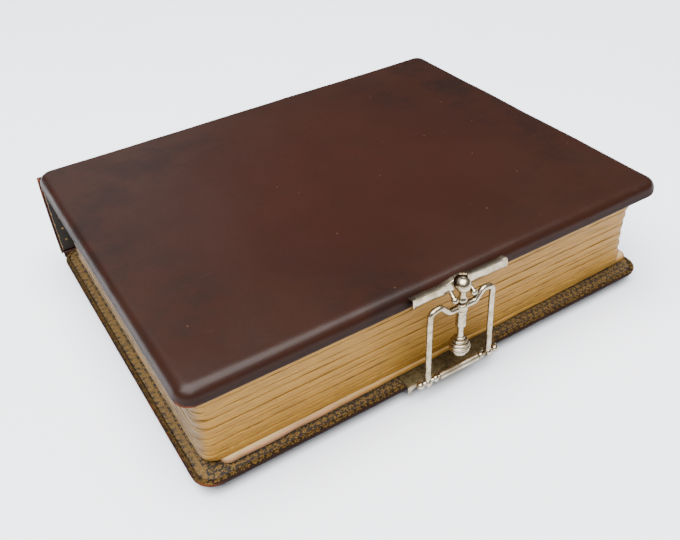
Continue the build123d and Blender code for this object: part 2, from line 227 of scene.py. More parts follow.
def makeLeather(name, lipZ, inward, endLipLine, backLipLine):
    f = Finish(name, Specular_IOR_Level=leatherLook["gloss"], Coat_Roughness=0.25, Coat_IOR=1.4)
    x, y, z = f.axes()
    broad = f.cloud(0.011, 2.0, 0.5)
    patch = f.cloud(0.045, 4.0, 0.6)
    fine = f.cloud(0.9, 5.0, 0.65)
    grain = f.cells(1.5, f.moved((1.0, 1.15, 1.0)))
    middle = 1 - f.step((x * x) / 15000 + (y * y) / 9000, 0.1, 1.3)
    colour = f.mix(f.step(patch, 0.35, 0.68), leatherLook["body"], leatherLook["deep"])
    colour = f.mix(f.step(broad, 0.42, 0.62) * 0.55, colour, leatherLook["dull"])
    colour = f.mix(middle * f.step(patch, 0.3, 0.6) * 0.7, colour, leatherLook["warm"])
    rise = abs(z - lipZ)
    # painted shade: the leather is darkened in a band next to the lip, where the rounded edge turns under
    lipShadeBand = 1 - f.step(rise, 1.0, 4.6)
    colour = f.mix(lipShadeBand * 0.55, colour, leatherLook["deep"])
    colour = f.mix(f.step(fine, 0.55, 0.75) * 0.22, colour, leatherLook["deep"])
    # rubbed corners, and a pale line along the lips at the ends and the back, partly wear and partly a
    # painted highlight
    endX = abs(x) - (book["halfX"] - leatherLook["rubbedReach"])
    endY = abs(y - book["midY"]) - (book["halfY"] - leatherLook["rubbedReach"])
    corner = f.step(endX & endY, -1.0, 9.0)
    rubCloud = f.cloud(0.42, 4.0, 0.7)
    rubbedAndLipHighlight = corner * f.step(
        rubCloud + (1 - f.step(rise, 0.0, 4.0)) * 0.22, 0.58, 0.7,
    ) * (1 - f.step(rise, 3.0, 6.0))
    # the pale lip line is partly wear and partly a painted highlight on the lip's edge
    lipLine = (1 - f.step(rise, 0.1, 1.1)) * f.step(f.cloud(0.12, 4.0, 0.65), 0.46, 0.6)
    lipEnds = f.step(abs(x), 136.0, 138.0) * endLipLine + f.step(y, 108.2, 109.5) * backLipLine
    rubbedAndLipHighlight = rubbedAndLipHighlight | (lipLine * lipEnds)
    colour = f.mix(rubbedAndLipHighlight * 0.8, colour, leatherLook["wornAndLipHighlight"])
    # light scuffs, hairline scratches and specks
    scuff = f.step(f.cloud(0.16, 6.0, 0.72, distortion=0.6), 0.64, 0.74)
    colour = f.mix(scuff * 0.22, colour, leatherLook["scuff"])
    hair = f.cloud(1.0, 2.0, 0.5, f.moved((0.03, 0.9, 0.03), 0.5))
    scratch = f.step(hair, 0.71, 0.74) * f.step(patch, 0.45, 0.6)
    colour = f.mix(scratch * 0.35, colour, leatherLook["scuff"])
    dot = f.step(f.cells(0.085), 0.035, 0.018)
    colour = f.mix(dot * 0.5, colour, leatherLook["speck"])
    side = 1 - f.step(rise, 2.0, 6.0)
    roughness = 0.26 + patch * 0.14 + side * 0.32 + scuff * 0.12 + rubbedAndLipHighlight * 0.25 + fine * 0.06
    height = f.relief(grain, 0.30, 0.12)
    height = f.relief(fine, 0.30, 0.12, height)
    height = f.relief(f.cloud(0.07, 3.0, 0.5), 0.35, 0.8, height)
    height = f.relief(scratch + dot, 0.3, -0.08, height)
    # the gilt pattern of the lining runs out over the turned-in edge
    inner = f.step((z - lipZ) * inward, 0.22, 0.08)
    gilt = goldPattern(f, x, y) * inner
    colour = f.mix(
        inner * f.step((book["halfX"] - abs(x)) & (book["halfY"] - abs(y - book["midY"])), 0.35, 0.9),
        colour, liningLook["ground"],
    )
    colour = f.mix(gilt, colour, liningLook["gold"])
    return f.wear(
        Base_Color=colour, Roughness=roughness + inner * 0.2, Normal=height,
        Coat_Weight=(0.1 - rubbedAndLipHighlight * 0.1) * (1 - side),
    )


liningLook = {
    "ground": shade(26, 18, 9), "gold": shade(96, 72, 32), "pale": shade(134, 104, 52),
    "edge": shade(14, 9, 5),
}

finishes = {}
finishes["frontLeather"] = makeLeather("FrontLeather", book["frontInnerZ"], 1, 1.0, 0.6)
finishes["backLeather"] = makeLeather("BackLeather", book["backInnerZ"], -1, 0.6, 0.3)

spineLook = {
    "ridge": shade(96, 58, 38), "tip": shade(124, 60, 26), "body": shade(46, 19, 11),
    "deep": shade(26, 10, 7),
}


def makeSpineLeather():
    f = Finish("SpineLeather", Specular_IOR_Level=0.14, Coat_Roughness=0.3)
    x, y, z = f.axes()
    patch = f.cloud(0.06, 5.0, 0.62)
    colour = f.mix(f.step(patch, 0.35, 0.7), spineLook["body"], spineLook["deep"])
    crease = f.cloud(1.0, 4.0, 0.6, f.moved((0.05, 0.5, 0.5)))
    colour = f.mix(f.step(crease, 0.55, 0.7) * 0.4, colour, spineLook["deep"])
    # a pale line along the top of the ridge, partly wear and partly a painted highlight
    top = f.step(z, 60.9, 61.5) * f.step(f.cloud(0.15, 5.0, 0.7), 0.38, 0.6)
    colour = f.mix(top * 0.7, colour, spineLook["ridge"])
    tip = f.step(abs(x), 136.2, 137.6) * f.step(
        f.cloud(0.3, 4.0, 0.7), 0.36, 0.56,
    ) * f.step(z, 40.0, 58.0)
    colour = f.mix(tip * 0.85, colour, spineLook["tip"])
    height = f.relief(f.cells(1.4), 0.3, 0.12)
    height = f.relief(crease, 0.5, 0.35, height)
    return f.wear(
        Base_Color=colour, Roughness=0.38 + patch * 0.2 + (top | tip) * 0.2, Normal=height,
        Coat_Weight=0.08 - tip * 0.08,
    )


finishes["spineLeather"] = makeSpineLeather()


def makeLining():
    f = Finish("PatternedLining", Specular_IOR_Level=0.45)
    x, y, z = f.axes()
    pattern = goldPattern(f, x, y)
    rub = f.cloud(0.25, 5.0, 0.7)
    gold = f.mix(f.cloud(0.5, 3.0, 0.6), liningLook["gold"], liningLook["pale"])
    ground = f.mix(f.step(rub, 0.4, 0.7) * 0.5, liningLook["ground"], liningLook["edge"])
    colour = f.mix(pattern, ground, gold)
    height = f.relief(pattern, 0.5, 0.08)
    height = f.relief(f.cloud(2.5, 3.0, 0.6), 0.2, 0.05, height)
    return f.wear(
        Base_Color=colour, Roughness=0.62 - pattern * 0.2, Metallic=pattern * 0.3, Normal=height,
    )


finishes["lining"] = makeLining()


def makeSpinePaper():
    f = Finish("SpinePaper")
    x, y, z = f.axes()
    at = f.node("ShaderNodeCombineXYZ", None, {0: x + z, 1: x - z})
    dots = 1 - f.step(f.cells(0.128, at, 0.0), 0.1, 0.14)
    rub = f.cloud(0.3, 4.0, 0.6)
    colour = f.mix(f.step(rub, 0.35, 0.7), liningLook["ground"], liningLook["edge"])
    colour = f.mix(dots * f.step(rub, 0.3, 0.5), colour, liningLook["pale"])
    return f.wear(
        Base_Color=colour, Roughness=0.7 - dots * 0.25, Normal=f.relief(f.cloud(2.0, 3.0), 0.25, 0.06),
    )


finishes["spinePaper"] = makeSpinePaper()

cardLook = {
    "gilt": shade(134, 94, 26),
    "giltDark": shade(76, 48, 14),
    "giltPale": shade(160, 118, 42),
    # the two creams are darkened to paint the shade on the head and tail edges
    "shadedCream": shade(120, 95, 60),
    "shadedCreamDark": shade(74, 53, 28),
    "face": shade(186, 162, 118),
    "foxed": shade(146, 112, 66),
    "rule": shade(140, 96, 40),
    "pink": shade(166, 116, 84),
}


def makeCard(name, bare):
    f = Finish(name, Specular_IOR_Level=0.4)
    x, y, z = f.axes()
    streakAt = f.moved((0.02, 0.02, 1.0))
    streak = f.cloud(3.2, 3.0, 0.6, streakAt)
    plies = f.cloud(1.9, 4.0, 0.65, f.moved((0.012, 0.012, 1.3)))
    blot = f.cloud(0.05, 4.0, 0.6)
    nick = f.cloud(0.35, 4.0, 0.7, f.moved((1.0, 1.0, 2.0)))
    if bare:
        # the ends take the cream darkened as painted shade
        side = f.mix(f.step(streak, 0.35, 0.65), cardLook["pink"], cardLook["shadedCream"])
        front = f.mix(
            f.step(x + blot * 40, -70.0, 0.0), side,
            f.mix(f.step(streak, 0.36, 0.64), cardLook["gilt"], cardLook["giltPale"]),
        )
    else:
        front = f.mix(f.step(streak, 0.36, 0.64), cardLook["gilt"], cardLook["giltPale"])
        front = f.mix(f.step(plies, 0.52, 0.70) * 0.5, front, cardLook["giltDark"])
        front = f.mix(
            f.step(f.cloud(5.0, 3.0, 0.6, f.moved((0.03, 0.03, 1.0), 0, (3, 0, 5))), 0.56, 0.64) * 0.55,
            front, cardLook["giltDark"],
        )
        front = f.mix(f.step(nick, 0.66, 0.72) * 0.6, front, cardLook["giltDark"])
        front = f.mix(f.step(blot, 0.5, 0.7) * 0.2, front, cardLook["giltPale"])
        # painted shade: the head and tail edges take the darkened creams
        side = f.mix(f.step(streak, 0.4, 0.62), cardLook["shadedCream"], cardLook["shadedCreamDark"])
        side = f.mix(f.step(plies, 0.56, 0.66) * 0.7, side, cardLook["gilt"])
    face = f.mix(f.step(f.cloud(0.03, 4.0, 0.6), 0.4, 0.7) * 0.4, cardLook["face"], cardLook["foxed"])
    ruled = (122.0 - abs(x)) & (y + 88.0) & (80.0 - y)
    rule = 1 - f.step(abs(ruled), 0.3, 0.5)
    rule = rule | (1 - f.step(abs(ruled - 1.8), 0.1, 0.22))
    if not bare:
        face = f.mix(rule * 0.85, face, cardLook["rule"])
    edged = f.node("ShaderNodeAttribute", {"attribute_name": "edge"}, None, "Fac")
    onEnd = f.step(abs(x), 126.0, 129.5) * f.step(y, -96.5, -91.5)  # head and tail edges, ungilded
    colour = f.mix(edged, face, f.mix(onEnd, front, side))
    gilded = edged * (1 - onEnd)
    height = f.relief(streak, 0.35, 0.12)
    height = f.relief(f.cloud(1.6, 4.0, 0.7), 0.25, 0.08, height)
    if bare:
        return f.wear(Base_Color=colour, Roughness=0.72 + streak * 0.1, Normal=height)
    return f.wear(
        Base_Color=colour, Roughness=0.66 - gilded * (0.26 - plies * 0.2), Metallic=gilded * 0.35,
        Normal=height,
    )


finishes["card"] = makeCard("GiltCard", False)
finishes["bareCard"] = makeCard("BareCard", True)


def makeLinen():
    f = Finish("GuardLinen", Sheen_Weight=0.2)
    x, y, z = f.axes()
    warp = abs((x % 0.5) - 0.5) * 2
    weft = abs((y % 0.55) - 0.5) * 2
    weave = warp * weft
    stain = f.cloud(0.08, 4.0, 0.6)
    colour = f.mix(stain, shade(206, 190, 158), shade(160, 138, 104))
    colour = f.mix(weave * 0.4, colour, shade(120, 100, 74))
    return f.wear(Base_Color=colour, Roughness=0.85 + stain * 0.1, Normal=f.relief(weave, 0.5, 0.12))


finishes["linen"] = makeLinen()


def makeBoard(name, light, dark, fibre):
    f = Finish(name)
    fibres = f.cloud(fibre, 5.0, 0.7, f.moved((1.0, 1.0, 3.0)))
    colour = f.mix(f.step(fibres, 0.3, 0.7), light, dark)
    return f.wear(Base_Color=colour, Roughness=0.8 + fibres * 0.15, Normal=f.relief(fibres, 0.5, 0.15))


finishes["board"] = makeBoard("PressedBoard", shade(170, 146, 108), shade(120, 98, 68), 1.1)
finishes["wadding"] = makeBoard("FeltWadding", shade(206, 196, 176), shade(160, 148, 126), 0.5)

nickelLook = {
    "bright": shade(176, 165, 144), "warm": shade(132, 117, 92), "dark": shade(70, 56, 40),
    "plate": shade(100, 88, 62), "plateDark": shade(62, 53, 36),
}


def makeNickel(name, tarnishedAndReflecting):
    f = Finish(name, Metallic=1.0)
    x, y, z = f.axes()
    cloud = f.cloud(0.22, 4.0, 0.6)
    fine = f.cloud(1.6, 5.0, 0.7)
    rub = f.cloud(4.0, 2.0, 0.5, f.moved((0.15, 1.0, 1.0), 0.3))
    colour = f.mix(f.step(cloud, 0.35, 0.7), nickelLook["bright"], nickelLook["warm"])
    colour = f.mix(f.step(fine, 0.58, 0.72) * 0.45, colour, nickelLook["dark"])
    if tarnishedAndReflecting:
        # the top of the plate takes a dull olive-brown, partly tarnish and partly a painted reflection of
        # the dark page block
        onPlate = f.step(y, -108.0, -107.0) * f.step(z, 8.7, 9.1)
        dull = f.mix(
            f.step(f.cloud(0.5, 5.0, 0.7), 0.35, 0.68), nickelLook["plate"], nickelLook["plateDark"],
        )
        colour = f.mix(onPlate * f.step(f.cloud(0.9, 5.0, 0.7), 0.26, 0.4), colour, dull)
        roughness = 0.3 + cloud * 0.16 + onPlate * 0.2
    else:
        roughness = 0.15 + cloud * 0.12 + fine * 0.1
    height = f.relief(rub, 0.1, 0.02)
    height = f.relief(f.cloud(0.7, 3.0, 0.5), 0.12, 0.06, height)
    return f.wear(Base_Color=colour, Roughness=roughness, Normal=height)


finishes["nickel"] = makeNickel("NickelSilver", False)
finishes["tarnishedAndReflectingPlate"] = makeNickel("TarnishedAndReflectingPlate", True)


def makeSpringSteel():
    f = Finish("SpringSteel", Metallic=1.0)
    cloud = f.cloud(1.2, 4.0, 0.6)
    colour = f.mix(cloud, shade(120, 118, 114), shade(64, 58, 52))
    return f.wear(Base_Color=colour, Roughness=0.3 + cloud * 0.2, Normal=f.relief(cloud, 0.2, 0.04))


finishes["spring"] = makeSpringSteel()
print("finishes made:", len(finishes))


# shared modelling
def finishPiece(name, bm, finish, body, replaced=(), angle=40.0, modifiers=(), recalc=True):
    bmesh.ops.remove_doubles(bm, verts=bm.verts, dist=0.001)
    if recalc:
        bmesh.ops.recalc_face_normals(bm, faces=bm.faces)
    bmesh.ops.scale(bm, vec=(toMetres, toMetres, toMetres), verts=bm.verts)
    mesh = bpy.data.meshes.new(name)
    bm.to_mesh(mesh)
    bm.free()
    for polygon in mesh.polygons:
        polygon.use_smooth = True
    mesh.set_sharp_from_angle(angle=math.radians(angle))
    mesh.materials.append(finishes[finish])
    piece = bpy.data.objects.new(name, mesh)
    bpy.context.scene.collection.objects.link(piece)
    for kind, settings in modifiers:
        modifier = piece.modifiers.new(kind.title(), kind)
        for key, value in settings.items():
            setattr(modifier, key, value)
    if body:
        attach(piece, body)
    if replaced:
        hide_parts(*replaced)
    return piece


def join(bm, added):
    mesh = bpy.data.meshes.new("part")
    added.to_mesh(mesh)
    added.free()
    bm.from_mesh(mesh)
    bpy.data.meshes.remove(mesh)


def turned(profile, origin, axis=(0, 0, 1), steps=40):
    bm = bmesh.new()
    verts = [bm.verts.new((radius, 0, height)) for radius, height in profile]
    edges = [bm.edges.new(pair) for pair in zip(verts, verts[1:])]
    bmesh.ops.spin(
        bm, geom=verts + edges, cent=(0, 0, 0), axis=(0, 0, 1), angle=math.tau, steps=steps,
        use_merge=True,
    )
    bmesh.ops.remove_doubles(bm, verts=bm.verts, dist=0.0005)
    bmesh.ops.recalc_face_normals(bm, faces=bm.faces)
    turn = Vector((0, 0, 1)).rotation_difference(Vector(axis)).to_matrix()
    bmesh.ops.rotate(bm, cent=(0, 0, 0), matrix=turn, verts=bm.verts)
    bmesh.ops.translate(bm, vec=origin, verts=bm.verts)
    return bm


def arc(centreR, centreZ, radius, start, end, steps):
    angles = [math.radians(start + (end - start) * k / steps) for k in range(steps + 1)]
    return [(max(0.0, centreR + radius * math.cos(a)), centreZ + radius * math.sin(a)) for a in angles]


def ease(value, low, high):
    t = min(1.0, max(0.0, (value - low) / (high - low)))
    return t * t * (3 - 2 * t)


def clampedCore(x, y, coreX, coreY):
    return max(-coreX, min(coreX, x)), max(-coreY, min(coreY, y))


# padded covers
coverLook = {
    "thick": 8.5, "leastCorner": 3.0,
    "gridX": 96, "gridY": 76, "crowding": 0.62, "turnIn": 3.0, "sheet": 0.8,
}
# each edge runs from the flat of the padding to the inner face,
# as its distance in from the lip and its height above the inner face
roundEdge = [
    (
        6.5 - 6.5 * math.sin(math.radians(10 * k)), 2.0 + 6.5 * math.cos(math.radians(10 * k)),
    ) for k in range(10)
]
roundEdge += [(0.0, 1.2), (0.05, 0.5), (0.3, 0.12), (0.8, 0.0), (coverLook["turnIn"], 0.0)]
slopeEdge = [
    (12.0, 8.5), (11.0, 8.35), (9.6, 7.75), (7.6, 6.5), (5.4, 4.95), (3.4, 3.65), (1.8, 2.75), (0.8, 2.2),
    (0.2, 1.7),
             (0.0, 1.1), (0.1, 0.45), (0.4, 0.1), (0.9, 0.0), (coverLook["turnIn"], 0.0)]


def crowd(t):
    k = coverLook["crowding"]
    return t * (1 - k) + k * math.sin(t * math.pi / 2)


def coverRing(inset, corner):
    radius = max(coverLook["leastCorner"], corner - inset)
    return book["halfX"] - inset - radius, book["halfY"] - inset - radius, radius


def paddedCover(name, innerZ, up, corner, dome, wave, edgeLine, finish, body, replaced):
    look = coverLook
    coreX, coreY, radius = coverRing(edgeLine[0][0], corner)
    flatX, flatY = coreX + radius, coreY + radius
    bm = bmesh.new()
    bmesh.ops.create_grid(bm, x_segments=look["gridX"], y_segments=look["gridY"], size=1.0)
    for vert in bm.verts:
        x, y = flatX * crowd(vert.co.x), flatY * crowd(vert.co.y)
        cx, cy = clampedCore(x, y, coreX, coreY)
        dx, dy = x - cx, y - cy
        if dx and dy:
            keep = max(abs(dx), abs(dy)) / math.hypot(dx, dy)
            x, y = cx + dx * keep, cy + dy * keep
        vert.co = (x, y, look["thick"])
    edges = [e for e in bm.edges if e.is_boundary]
    for inset, height in edgeLine[1:]:
        nextX, nextY, radius = coverRing(inset, corner)
        made = bmesh.ops.extrude_edge_only(bm, edges=edges)["geom"]
        edges = [g for g in made if isinstance(g, bmesh.types.BMEdge)]
        for vert in [g for g in made if isinstance(g, bmesh.types.BMVert)]:
            cx, cy = clampedCore(vert.co.x, vert.co.y, coreX, coreY)
            away = Vector((vert.co.x - cx, vert.co.y - cy)).normalized() * radius
            vert.co = (cx * nextX / coreX + away.x, cy * nextY / coreY + away.y, height)
        coreX, coreY = nextX, nextY
    for vert in bm.verts:
        x, y, z = vert.co
        lift = ease(z, 2.0, look["thick"])
        rise = dome * (1 - min(1, abs(x) / flatX) ** 3) * (1 - min(1, abs(y) / flatY) ** 3)
        rise += wave * noise.noise(Vector((x * 0.016, y * 0.018, 3.1 * up)))
        rise += 0.35 * wave * noise.noise(Vector((x * 0.05, y * 0.05, 7.7)))
        vert.co.z += rise * lift
        if 0.2 < z < 6.0:
            swell = 0.22 * noise.noise(Vector((x * 0.03, y * 0.03, 5.0)))
            vert.co.x -= math.copysign(max(0.0, swell), x) * (abs(x) > coreX)
            vert.co.y -= math.copysign(max(0.0, swell), y) * (abs(y) > coreY)
    bmesh.ops.recalc_face_normals(bm, faces=bm.faces)
    bmesh.ops.scale(bm, vec=(1, 1, up), verts=bm.verts)
    bmesh.ops.translate(bm, vec=(0, book["midY"], innerZ), verts=bm.verts)
    bm.normal_update()
    outer = max(bm.faces, key=lambda face: face.calc_center_median().z * up)
    if outer.normal.z * up < 0:
        bmesh.ops.reverse_faces(bm, faces=bm.faces)
    solid = ("SOLIDIFY", {"thickness": look["sheet"] * toMetres, "offset": -1.0, "use_rim": True})
    piece = finishPiece(name, bm, finish, body, replaced, 60.0, [solid], recalc=False)
    return piece


paddedCover(
    "FrontCoverLeather", book["frontInnerZ"], 1, 8.5, 0.45, 0.55, roundEdge, "frontLeather",
    "front_cover", ["front_cover_leather"],
)
paddedCover(
    "BackCoverLeather", book["backInnerZ"], -1, 11.0, 0.0, 0.0, slopeEdge, "backLeather", "back_cover",
    ["back_cover_leather"],
)
print("covers made")

# spine and joints
spineLookSizes = {
    "half": 138.0, "segments": 92, "edgeY": 113.9, "crownY": 116.2, "lowZ": 8.6, "highZ": 58.9,
    "sheet": 1.0, "roll": 2.6,
}


def sectionStrip(bm, section, half, segments, move):
    verts = [bm.verts.new((-half, y, z)) for y, z in section]
    edges = [bm.edges.new(pair) for pair in zip(verts, verts[1:] + verts[:1])]
    bmesh.ops.contextual_create(bm, geom=edges)
    for k in range(1, segments + 1):
        at = -half + 2 * half * k / segments
        made = bmesh.ops.extrude_edge_only(bm, edges=edges)["geom"]
        edges = [g for g in made if isinstance(g, bmesh.types.BMEdge)]
        for vert in [g for g in made if isinstance(g, bmesh.types.BMVert)]:
            vert.co.x = at
    bmesh.ops.contextual_create(bm, geom=edges)
    for vert in bm.verts:
        vert.co += move(vert.co)


def spineSection():
    look = spineLookSizes
    midZ = (look["lowZ"] + look["highZ"]) / 2
    halfZ = (look["highZ"] - look["lowZ"]) / 2
    crown = look["crownY"] - look["edgeY"]
    outer = []
    for k in range(25):
        z = look["lowZ"] + (look["highZ"] - look["lowZ"]) * k / 24
        outer.append((look["edgeY"] + crown * (1 - ((z - midZ) / halfZ) ** 2), z))
    over = [
        (look["edgeY"] - 0.02, look["highZ"] + 0.9), (look["edgeY"] - 0.12, look["highZ"] + 1.8),
        (look["edgeY"] - 0.6, look["highZ"] + 2.4),
    ]
    roll = [
        (
            look["edgeY"] - look["roll"] * math.sin(math.radians(a)),
            look["highZ"] + look["roll"] * math.cos(math.radians(a)),
        ) for a in (28, 45, 62, 78, 90)
    ]
    inner = [(look["edgeY"] - 1.3, look["highZ"] - 0.1)]
    for k in range(24, -1, -1):
        z = look["lowZ"] + 0.4 + (look["highZ"] - look["lowZ"] - 0.8) * k / 24
        inner.append((look["edgeY"] - look["sheet"] + crown * (1 - ((z - midZ) / halfZ) ** 2), z))
    under = [(y, mirrorZ - z) for y, z in reversed(over + roll + inner[:1])]
    return outer + over + roll + inner + under


def spineMove(co):
    drift = Vector((0, 0, 0))
    if co.z > 57.5:
        drift.z = 0.28 * noise.noise(Vector((co.x * 0.03, 2.0, 0)))
        drift.z += 0.45 * ease(abs(co.x), 130.0, 138.0) - 0.25
    drift.y = 0.25 * noise.noise(Vector((co.x * 0.02, co.z * 0.05, 4.0))) - 0.2
    return drift


bm = bmesh.new()
sectionStrip(bm, spineSection(), spineLookSizes["half"], spineLookSizes["segments"], spineMove)
finishPiece(
    "SpineLeather", bm, "spineLeather", "back_cover",
    ["spine_leather", "front_joint_roll", "back_joint_roll"], 50.0,
)

jointLook = {"half": 137.0, "segments": 80, "thick": 0.7}


def jointStrip(mirror):
    line = [
        (113.3, 60.9), (112.6, 61.0), (111.6, 60.3), (110.6, 59.9), (109.8, 60.4), (109.5, 61.6),
        (109.1, 62.8),
    ]
    thick = jointLook["thick"]
    section = line + [(y - thick * 0.3, z - thick) for y, z in reversed(line)]
    if mirror:
        section = [(y, mirrorZ - z) for y, z in section]
    bm = bmesh.new()
    sectionStrip(bm, section, jointLook["half"], jointLook["segments"], lambda co: Vector((0, 0, 0)))
    return bm


frontJoint = finishPiece("FrontJointLeather", jointStrip(False), "spineLeather", None)
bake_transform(frontJoint)
finishPiece("BackJointLeather", jointStrip(True), "spineLeather", "back_cover")
print("spine made")

# leaves
leafLook = {
    "count": 24, "turning": 7, "halfX": 131.25, "corner": 8.0, "thick": 1.85, "pitch": 1.975, "topZ": 58.8,
    "backY": 90.75, "frontY": -98.4, "hollow": 3.1, "hollowZ": 31.0, "hollowHalf": 27.0,
    "scatter": 0.35, "ragged": 0.22, "cornerWorn": 1.6, "cornerVaries": 0.8,
    "gridX": 60, "gridY": 30, "edgeBevel": 0.1, "swell": 0.1,
}


def cardPiece(
    name, halfX, frontY, backY, midZ, corner, thick, ragged, seed, finish, body, replaced,
    place=None,
):
    bm = bmesh.new()
    bmesh.ops.create_grid(bm, x_segments=leafLook["gridX"], y_segments=leafLook["gridY"], size=1.0)
    midY, halfY = (frontY + backY) / 2, (backY - frontY) / 2
    for vert in bm.verts:
        x, y = halfX * crowd(vert.co.x), midY + halfY * crowd(vert.co.y)
        cx = max(-halfX + corner, min(halfX - corner, x))
        cy = max(frontY + corner, y)
        dx, dy = x - cx, y - cy
        if dx and dy:
            keep = max(abs(dx), abs(dy)) / math.hypot(dx, dy)
            x, y = cx + dx * keep, cy + dy * keep
        near = ease(-y, -frontY - 9.0, -frontY)
        y += ragged * near * (
            noise.noise(
                Vector((x * 0.07, seed * 3.7, 0.0))
            ) + 0.4 * noise.noise(Vector((x * 0.4, seed * 1.3, 2.0)))
        )
        side = ease(abs(x), halfX - 9.0, halfX)
        x += 0.6 * ragged * side * noise.noise(Vector((y * 0.06, seed * 5.1, math.copysign(4.0, x))))
        vert.co = (x, y, 0)
    rim = bm.verts.layers.float.new("edge")
    bmesh.ops.recalc_face_normals(bm, faces=bm.faces)
    base = bm.faces[:]
    made = bmesh.ops.extrude_face_region(bm, geom=base)["geom"]
    lifted = [g for g in made if isinstance(g, bmesh.types.BMVert)]
    bmesh.ops.translate(bm, vec=(0, 0, thick), verts=lifted)
    bmesh.ops.recalc_face_normals(bm, faces=bm.faces)
    bm.normal_update()
    sharp = [e for e in bm.edges if len(e.link_faces) == 2 and e.calc_face_angle() > 1.0]
    bmesh.ops.bevel(
        bm, geom=sharp, offset=leafLook["edgeBevel"], affect="EDGES", segments=3, profile=0.5,
        material=-1,
    )
    bmesh.ops.translate(bm, vec=(0, 0, midZ - thick / 2), verts=bm.verts)
    for vert in bm.verts:
        flat = all(abs(face.normal.z) > 0.98 for face in vert.link_faces)
        vert[rim] = 0.0 if flat else 1.0
    if place:
        bmesh.ops.rotate(
            bm, cent=(0, midY, 0), matrix=Matrix.Rotation(math.radians(place["turn"]), 3, "Z"),
            verts=bm.verts,
        )
        bmesh.ops.translate(bm, vec=place["shift"], verts=bm.verts)
    return finishPiece(name, bm, finish, body, replaced, 45.0)


for number in range(1, leafLook["count"] + 1):
    look = leafLook
    midZ = look["topZ"] - (number - 0.5) * look["pitch"]
    bow = max(0.0, 1 - ((midZ - look["hollowZ"]) / look["hollowHalf"]) ** 2)
    scatter = look["scatter"] * math.sin(2.4 * number)
    frontY = look["frontY"] + look["hollow"] * bow + 0.6 * scatter
    body = f"leaf_{number:02d}" if number <= look["turning"] else "back_cover"
    corner = look["corner"] - look["cornerWorn"] + look["cornerVaries"] * math.sin(number * 1.9)
    cardPiece(
        f"Leaf{number:02d}", look["halfX"], frontY, look["backY"], midZ, corner,
        look["thick"] + look["swell"], look["ragged"], number, "card", body,
        [f"leaf_{number:02d}"], {"turn": 0.0, "shift": (scatter, 0, 0)},
    )

looseLook = {
    "halfX": 130.75, "midZ": 10.35, "thick": 1.7, "corner": 5.0, "turn": 0.9, "shift": (5.3, -0.9, 0),
}
cardPiece(
    "LooseCard", looseLook["halfX"], -96.9, 89.25, looseLook["midZ"], looseLook[
        "corner"
    ], looseLook["thick"], 0.5, 40,
    "bareCard", "back_cover", ["loose_card"], {
        "turn": looseLook["turn"], "shift": looseLook["shift"],
    },
)
print("leaves made")

# clasp
claspLook = {
    "y": -110.75, "pinZ": 10.9, "legX": 19.0, "topX": 18.4, "shoulderX": 12.6, "dipX": 7.6,
    "topZ": 54.8, "shoulderZ": 55.7, "barZ": 50.4, "bends": [3.4, 2.8, 3.2, 3.2, 2.8, 3.4],
}


def roundedPath(points, radii, steps=7):
    path = [Vector(points[0])]
    for k in range(1, len(points) - 1):
        here, back, on = Vector(points[k]), Vector(points[k - 1]), Vector(points[k + 1])
        a, b = (back - here).normalized(), (on - here).normalized()
        half = a.angle(b) / 2
        radius = radii[k - 1]
        reach = radius / math.tan(half)
        centre = here + (a + b).normalized() * (radius / math.sin(half))
        start, end = here + a * reach - centre, here + b * reach - centre
        for s in range(steps + 1):
            path.append(centre + start.slerp(end, s / steps, start).normalized() * radius)
    path.append(Vector(points[-1]))
    return path


# a round section of the given half widths carried along a path; facing sets which way its first width lies
def sweptWire(path, size, facing, sides=16):
    bm = bmesh.new()
    directions = [(b - a).normalized() for a, b in zip(path, path[1:])]
    middles = [(a + b).normalized() for a, b in zip(directions, directions[1:])]
    last = None
    for point, tangent in zip(path, directions[:1] + middles + directions[-1:]):
        wide, deep = size(point)
        across = tangent.cross(facing).normalized()
        place = Matrix((across * wide, across.cross(tangent) * deep, tangent)).transposed().to_4x4()
        place.translation = point
        if last is None:
            bmesh.ops.create_circle(bm, cap_ends=True, segments=sides, radius=1.0, matrix=place)
            edges = bm.edges[:]
        else:
            made = bmesh.ops.extrude_edge_only(bm, edges=edges)["geom"]
            edges = [g for g in made if isinstance(g, bmesh.types.BMEdge)]
            for vert in [g for g in made if isinstance(g, bmesh.types.BMVert)]:
                vert.co = place @ (last.inverted() @ vert.co)
        last = place
    bmesh.ops.contextual_create(bm, geom=edges)
    bmesh.ops.recalc_face_normals(bm, faces=bm.faces)
    return bm


def bailSize(point):
    leg = ease(point.z, 18.0, 26.0) * (1 - ease(point.z, 46.0, 53.0)) * ease(abs(point.x), 16.0, 18.0)
    bar = (1 - ease(abs(point.x), 7.0, 11.0)) * ease(point.z, 47.0, 49.0)
    foot = 1 - ease(point.z, 13.0, 17.0)
    return 1.55 + 0.12 * leg + 0.12 * foot, 1.55 - 0.3 * leg + 0.25 * bar - 0.1 * foot


